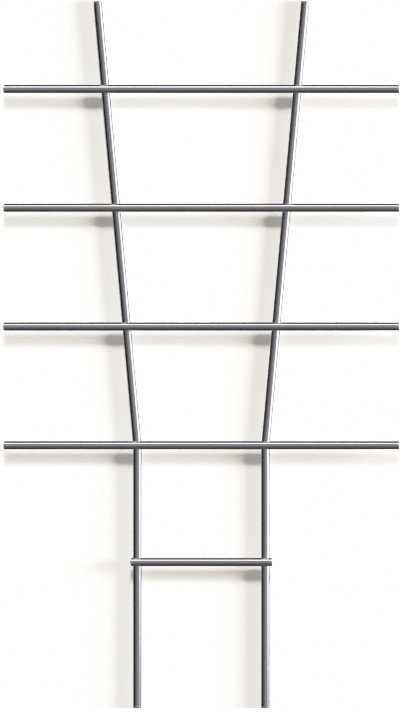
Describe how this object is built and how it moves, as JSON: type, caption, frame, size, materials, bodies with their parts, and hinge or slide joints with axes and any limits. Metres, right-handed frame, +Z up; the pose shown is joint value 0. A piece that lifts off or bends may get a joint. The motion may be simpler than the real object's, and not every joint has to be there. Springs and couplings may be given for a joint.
{
  "type": "garden trellis",
  "caption": "Welded stainless tube trellis for climbing plants: uprights that splay above one bend, with level crossbars, on legs that go into soil.",
  "frame": {"origin": "midway between the two leg ends, on the plane where the crossbars meet the uprights", "axes": "+X to the right seen from the crossbar side, +Y from the crossbars in front to the uprights behind, +Z up the legs"},
  "size_m": [0.6, 0.0242, 1.0734],
  "materials": {
    "tube": "ground and polished stainless steel tube with fine lines along its length",
    "end_plug": "turned stainless steel plug, satin end face",
    "weld": "rippled weld bead with faint straw tint, brushed clean"
  },
  "bodies": {
    "root": {"upright_left": "tube", "upright_right": "tube", "long_crossbar_1": "tube", "long_crossbar_2": "tube", "long_crossbar_3": "tube", "long_crossbar_4": "tube", "short_crossbar": "tube", "upright_left_foot_plug": "end_plug", "upright_left_top_plug": "end_plug", "upright_right_foot_plug": "end_plug", "upright_right_top_plug": "end_plug", "long_crossbar_1_left_plug": "end_plug", "long_crossbar_1_right_plug": "end_plug", "long_crossbar_2_left_plug": "end_plug", "long_crossbar_2_right_plug": "end_plug", "long_crossbar_3_left_plug": "end_plug", "long_crossbar_3_right_plug": "end_plug", "long_crossbar_4_left_plug": "end_plug", "long_crossbar_4_right_plug": "end_plug", "short_crossbar_left_plug": "end_plug", "short_crossbar_right_plug": "end_plug", "long_crossbar_1_left_weld": "weld", "long_crossbar_1_right_weld": "weld", "long_crossbar_2_left_weld": "weld", "long_crossbar_2_right_weld": "weld", "long_crossbar_3_left_weld": "weld", "long_crossbar_3_right_weld": "weld", "long_crossbar_4_left_weld": "weld", "long_crossbar_4_right_weld": "weld", "short_crossbar_left_weld": "weld", "short_crossbar_right_weld": "weld"}
  },
  "joints": []
}
